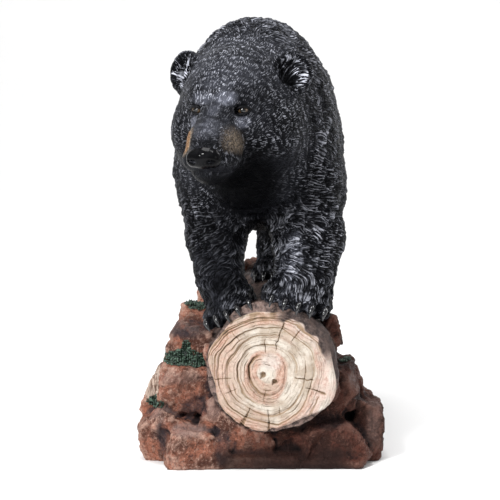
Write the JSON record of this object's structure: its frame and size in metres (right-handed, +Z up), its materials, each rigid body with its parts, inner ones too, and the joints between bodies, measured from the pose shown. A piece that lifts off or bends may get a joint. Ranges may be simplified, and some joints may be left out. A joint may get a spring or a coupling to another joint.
{
  "type": "bear statue",
  "caption": "Standing black bear walking along a fallen log on a heap of red rocks, a cast and hand-painted garden figure that stands on its own flat base.",
  "frame": {"origin": "on the flat underside of the rock heap, near its middle, below the bear's chest", "axes": "+Z up; -Y the way the bear walks and faces, out of the log's sawn end; +X to the bear's left"},
  "size_m": [0.1924, 0.3979, 0.3401],
  "materials": {
    "bear_coat": "near-black painted resin, dry-brushed blue-grey, satin varnish",
    "painted_rock": "red-brown painted resin with dark washes, green moss and a cream sawn log end"
  },
  "bodies": {
    "root": {"bear": "bear_coat", "log_and_rock_base": "painted_rock"}
  },
  "joints": []
}
